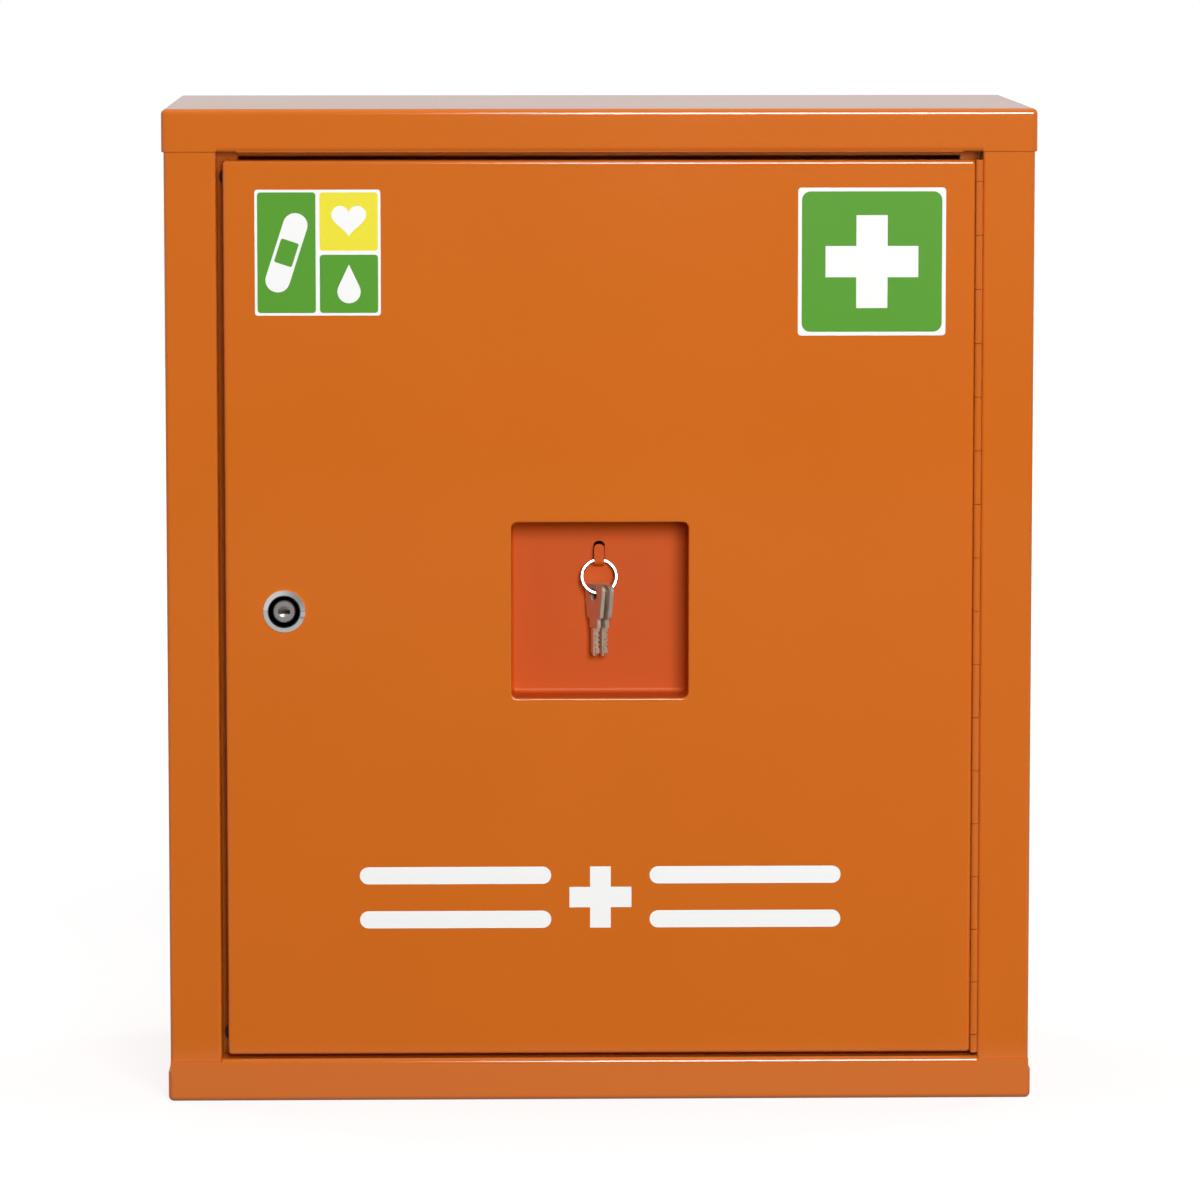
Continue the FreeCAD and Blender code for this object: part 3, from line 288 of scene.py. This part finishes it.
def dropOutline(height, footShare=0.3, steps=28):
    radius = height * footShare
    lean = math.asin(radius / (height - radius))  # where the straight flanks leave the round foot
    points = [(0, height / 2)]
    for step in range(steps + 1):
        angle = math.pi - lean + (math.pi + 2 * lean) * step / steps
        points.append((radius * math.cos(angle), radius * math.sin(angle) - height / 2 + radius))
    return points


def turnedBy(points, degrees):
    c, s = math.cos(math.radians(degrees)), math.sin(math.radians(degrees))
    return [(x * c - z * s, x * s + z * c) for x, z in points]


def movedBy(points, x, z):
    return [(px + x, pz + z) for px, pz in points]


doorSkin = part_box("door_panel")[0].y / mm  # front of the door


def film(name, outlines, layer, finish):
    # one printed layer: flat islands, one film thickness proud of the layer below
    front = (doorSkin - vinylFilm["thickMm"] * (layer + 1)) * mm
    back = doorSkin * mm
    shape = bmesh.new()
    for outline in outlines:
        faceFront = [shape.verts.new((x * mm, front, z * mm)) for x, z in outline]
        faceBack = [shape.verts.new((x * mm, back, z * mm)) for x, z in outline]
        shape.faces.new(faceFront)
        shape.faces.new(faceBack[::-1])
        for index in range(len(outline)):
            after = (index + 1) % len(outline)
            shape.faces.new((faceFront[after], faceFront[index], faceBack[index], faceBack[after]))
    mesh = bpy.data.meshes.new(name)
    shape.to_mesh(mesh)
    shape.free()
    piece = bpy.data.objects.new(name, mesh)
    bpy.context.scene.collection.objects.link(piece)
    mesh.materials.append(materials[finish])
    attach(piece, "door")


# First aid sign at the upper right: a white cross on a green field with a white edge.
sign = {"x": 132.9, "z": 170.4, "size": 72.3, "corner": 1.6, "field": 68.6, "fieldCorner": 4.2,
        "cross": 45.4, "arm": 15.3}
film("sign_film", [movedBy(roundedBox(sign["size"], sign["size"], sign["corner"]), sign["x"], sign["z"])], 0,
     "whiteVinyl")
film("sign_field", [movedBy(roundedBox(sign["field"], sign["field"], sign["fieldCorner"]), sign["x"], sign["z"])],
     1, "greenVinyl")
film("sign_cross", [movedBy(crossOutline(sign["cross"], sign["arm"]), sign["x"], sign["z"])], 2, "whiteVinyl")

# Contents label at the upper left: a tall tile with a plaster, and two small ones with a heart and a drop.
label = {"x": -137.7, "z": 175.1, "size": 61.4, "corner": 1.4, "margin": 1.3, "gap": 2.0, "tileCorner": 1.6,
         "plaster": (12, 40), "plasterCorner": 5.9, "plasterTurn": -18, "pad": (9, 12), "padCorner": 0.8,
         "heart": 17, "drop": 19}
column = (label["size"] - 2 * label["margin"] - label["gap"]) / 2
tall = label["size"] - 2 * label["margin"]
offset = (column + label["gap"]) / 2
leftX, rightX = label["x"] - offset, label["x"] + offset
upperZ, lowerZ = label["z"] + offset, label["z"] - offset
film("label_film", [movedBy(roundedBox(label["size"], label["size"], label["corner"]), label["x"], label["z"])], 0,
     "whiteVinyl")
film("label_green_tiles", [movedBy(roundedBox(column, tall, label["tileCorner"]), leftX, label["z"]),
                           movedBy(roundedBox(column, column, label["tileCorner"]), rightX, lowerZ)], 1,
     "greenVinyl")
film("label_yellow_tile", [movedBy(roundedBox(column, column, label["tileCorner"]), rightX, upperZ)], 1,
     "yellowVinyl")
strip = turnedBy(roundedBox(*label["plaster"], label["plasterCorner"]), label["plasterTurn"])
film("label_motifs", [movedBy(strip, leftX, label["z"]), movedBy(heartOutline(label["heart"]), rightX, upperZ),
                      movedBy(dropOutline(label["drop"]), rightX, lowerZ)], 2, "whiteVinyl")
pad = turnedBy(roundedBox(*label["pad"], label["padCorner"]), label["plasterTurn"])
film("label_plaster_pad", [movedBy(pad, leftX, label["z"])], 3, "greenVinyl")

# Band low on the door: four bars round a cross.
band = {"x": 0.2, "z": -143.4, "width": 237.4, "height": 30.6, "bar": 8.6, "barCorner": 4.2, "arm": 10.2,
        "space": 9}
barLength = (band["width"] - band["height"]) / 2 - band["space"]
barX = (band["width"] - barLength) / 2
barZ = (band["height"] - band["bar"]) / 2
bars = [movedBy(roundedBox(barLength, band["bar"], band["barCorner"]), band["x"] + sideX * barX,
                band["z"] + sideZ * barZ) for sideX in (-1, 1) for sideZ in (-1, 1)]
film("door_band", bars + [movedBy(crossOutline(band["height"], band["arm"]), band["x"], band["z"])], 0,
     "whiteVinyl")
print("films: sign, label and band on the door")

# Studio: a white sweep round the cabinet that ends in front of it, a darker room on the camera's side, a large
# soft source above and right of the camera, a strip that only shows in the gloss, a lamp straight above for
# the top, and two lamps level with the cabinet that light its sides and back.
studio = {
    "floorSize": 9.0,
    "floorPale": "#F4F4F4",       # matt floor that the camera sees, with the cabinet's shadow
    "floorDim": "#3C3C3C",        # what the floor gives back to the cabinet
    "floorGlow": 1.12,            # white that lifts the pale floor to the background
    "glowShare": (0.72, 1.0),     # how much of that white there is beside the cabinet and far from it
    "shadowReach": (0.5, 1.2),    # metres over which the shadow fades into the white
    "mirroredGlow": 0.5,          # white of the sweep in steep reflections near the cabinet
    "sweepEnd": (-0.36, -0.30),   # where that white begins, by the floor's Y
    "flareSide": (0.22, 0.5),     # beside the cabinet, by X, it comes further forward
    "flareFront": (-2.2, -0.4),   # and fades out towards the camera, by Y
    "roomDark": 0.08,             # what the gloss sees towards the camera
    "roomWhite": 0.64,            # what the gloss sees of the sweep
    "roomAxis": (-0.30, 0.94, -0.16),  # away from the dark side's middle, up and right of the camera
    "roomEdge": (-0.85, -0.35),   # where the room turns white, by the direction along that axis
    "fill": 0.25,                 # how strongly the sweep lights the cabinet
}


def studioWorld():
    world = bpy.data.worlds.new("whiteSweep")
    bpy.context.scene.world = world
    world.use_nodes = True
    tree = world.node_tree
    background = tree.nodes["Background"]
    direction = addNode(tree, "ShaderNodeTexCoord").outputs["Generated"]
    along = addNode(tree, "ShaderNodeVectorMath", {"operation": "DOT_PRODUCT"}, {1: studio["roomAxis"]},
                    {0: direction})
    rays = addNode(tree, "ShaderNodeLightPath")
    room = addNode(tree, "ShaderNodeMapRange", {"interpolation_type": "SMOOTHSTEP"},
                   {"From Min": studio["roomEdge"][0], "From Max": studio["roomEdge"][1],
                    "To Min": studio["roomDark"], "To Max": studio["roomWhite"]},
                   {"Value": along.outputs["Value"]})
    seen = addNode(tree, "ShaderNodeMath", {"operation": "MAXIMUM"},
                   links={0: room.outputs["Result"], 1: rays.outputs["Is Camera Ray"]})
    tree.links.new(seen.outputs["Value"], background.inputs["Color"])
    shiny = addNode(tree, "ShaderNodeMath", {"operation": "MAXIMUM"},
                    links={0: rays.outputs["Is Glossy Ray"], 1: rays.outputs["Is Transmission Ray"]})
    shown = addNode(tree, "ShaderNodeMath", {"operation": "MAXIMUM"},
                    links={0: shiny.outputs["Value"], 1: rays.outputs["Is Camera Ray"]})
    strength = addNode(tree, "ShaderNodeMapRange", values={"To Min": studio["fill"], "To Max": 1.0},
                       links={"Value": shown.outputs["Value"]})
    tree.links.new(strength.outputs["Result"], background.inputs["Strength"])


def studioFloor():
    half = studio["floorSize"] / 2
    ground = cadBox[0].z
    mesh = bpy.data.meshes.new("floor")
    corners = [(-half, -half, ground), (half, -half, ground), (half, half, ground), (-half, half, ground)]
    mesh.from_pydata(corners, [], [(0, 1, 2, 3)])
    floor = bpy.data.objects.new("floor", mesh)
    bpy.context.scene.collection.objects.link(floor)
    material = bpy.data.materials.new("paleFloor")
    material.use_nodes = True
    tree = material.node_tree
    tree.nodes.remove(tree.nodes["Principled BSDF"])
    rays = addNode(tree, "ShaderNodeLightPath")
    pale = addNode(tree, "ShaderNodeBsdfDiffuse", values={"Color": hexToLinear(studio["floorPale"])})
    glow = addNode(tree, "ShaderNodeEmission", values={"Strength": studio["floorGlow"]})
    place = addNode(tree, "ShaderNodeTexCoord").outputs["Object"]
    away = addNode(tree, "ShaderNodeVectorMath", {"operation": "LENGTH"}, links={0: place})
    share = addNode(tree, "ShaderNodeMapRange", {"interpolation_type": "SMOOTHSTEP"},
                    {"From Min": studio["shadowReach"][0], "From Max": studio["shadowReach"][1],
                     "To Min": studio["glowShare"][0], "To Max": studio["glowShare"][1]},
                    {"Value": away.outputs["Value"]})
    seen = addNode(tree, "ShaderNodeMixShader", links={0: share.outputs["Result"], 1: pale.outputs["BSDF"],
                                                       2: glow.outputs["Emission"]})
    parts = addNode(tree, "ShaderNodeSeparateXYZ", links={"Vector": place})
    side = addNode(tree, "ShaderNodeMath", {"operation": "ABSOLUTE"}, links={0: parts.outputs["X"]})
    beside = addNode(tree, "ShaderNodeMapRange", {"interpolation_type": "SMOOTHSTEP"},
                     {"From Min": studio["flareSide"][0], "From Max": studio["flareSide"][1]},
                     {"Value": side.outputs["Value"]})
    ahead = addNode(tree, "ShaderNodeMapRange", {"interpolation_type": "SMOOTHSTEP"},
                    {"From Min": studio["flareFront"][0], "From Max": studio["flareFront"][1]},
                    {"Value": parts.outputs["Y"]})
    flare = addNode(tree, "ShaderNodeMath", {"operation": "MULTIPLY"},
                    links={0: beside.outputs["Result"], 1: ahead.outputs["Result"]})
    near = addNode(tree, "ShaderNodeMapRange", {"interpolation_type": "SMOOTHSTEP"},
                   {"From Min": studio["sweepEnd"][0], "From Max": studio["sweepEnd"][1]},
                   {"Value": parts.outputs["Y"]})
    sweep = addNode(tree, "ShaderNodeMath", {"operation": "MAXIMUM"},
                    links={0: near.outputs["Result"], 1: flare.outputs["Value"]})
    mirrored = addNode(tree, "ShaderNodeMath", {"operation": "MULTIPLY"},
                       links={0: rays.outputs["Is Glossy Ray"], 1: sweep.outputs["Value"]})
    dim = addNode(tree, "ShaderNodeBsdfDiffuse", values={"Color": hexToLinear(studio["floorDim"])})
    sheen = addNode(tree, "ShaderNodeEmission", values={"Strength": studio["mirroredGlow"]})
    lit = addNode(tree, "ShaderNodeMixShader", links={0: mirrored.outputs["Value"], 1: dim.outputs["BSDF"],
                                                      2: sheen.outputs["Emission"]})
    mixed = addNode(tree, "ShaderNodeMixShader", links={0: rays.outputs["Is Camera Ray"], 1: lit.outputs["Shader"],
                                                        2: seen.outputs["Shader"]})
    tree.links.new(mixed.outputs["Shader"], tree.nodes["Material Output"].inputs["Surface"])
    mesh.materials.append(material)


lampAim = (0.0, -0.15, 0.0)
lamps = {
    "frontSoftbox": {"at": (0.52, -3.1, 0.84), "size": (1.3, 1.45), "watts": 96, "diffuse": True, "gloss": False},
    "glossStrip": {"at": (0.65, -2.85, 1.25), "size": (1.36, 1.27), "watts": 130, "diffuse": False, "gloss": True},
    "overhead": {"at": (0.0, 0.1, 2.2), "size": (1.2, 1.2), "watts": 23, "diffuse": True, "gloss": False},
    "rearLeft": {"at": (-2.3, 1.6, 0.05), "size": (0.9, 0.5), "watts": 60, "diffuse": True, "gloss": False},
    "rearRight": {"at": (2.3, 1.6, 0.05), "size": (0.9, 0.5), "watts": 60, "diffuse": True, "gloss": False},
}


def studioLamps():
    aim = Vector(lampAim)
    for name, spec in lamps.items():
        light = bpy.data.lights.new(name, "AREA")
        light.shape = "RECTANGLE"
        light.size, light.size_y = spec["size"]
        light.energy = spec["watts"]
        lamp = bpy.data.objects.new(name, light)
        bpy.context.scene.collection.objects.link(lamp)
        lamp.location = spec["at"]
        lamp.rotation_euler = (aim - lamp.location).to_track_quat("-Z", "Y").to_euler()
        lamp.visible_diffuse = spec["diffuse"]
        lamp.visible_glossy = spec["gloss"]
        lamp.visible_camera = False


# The camera stands a little left of the middle and above the top; its frame is frameMm wide at the door.
photoView = {"eye": (-0.0685, -3.2, 0.351), "target": (0.0, -0.2, 0.0043), "frameMm": 589.5, "sensorMm": 36.0}


def photoCamera():
    data = bpy.data.cameras.new("photoCamera")
    camera = bpy.data.objects.new("photoCamera", data)
    bpy.context.scene.collection.objects.link(camera)
    eye, target = Vector(photoView["eye"]), Vector(photoView["target"])
    camera.location = eye
    camera.rotation_euler = (target - eye).to_track_quat("-Z", "Y").to_euler()
    data.sensor_width = photoView["sensorMm"]
    data.lens = photoView["sensorMm"] * (target - eye).length / (photoView["frameMm"] * mm)
    bpy.context.scene.camera = camera


studioWorld()
studioFloor()
studioLamps()
photoCamera()
bpy.context.scene.view_settings.view_transform = "Standard"
print("studio: world, floor, lamps and camera")
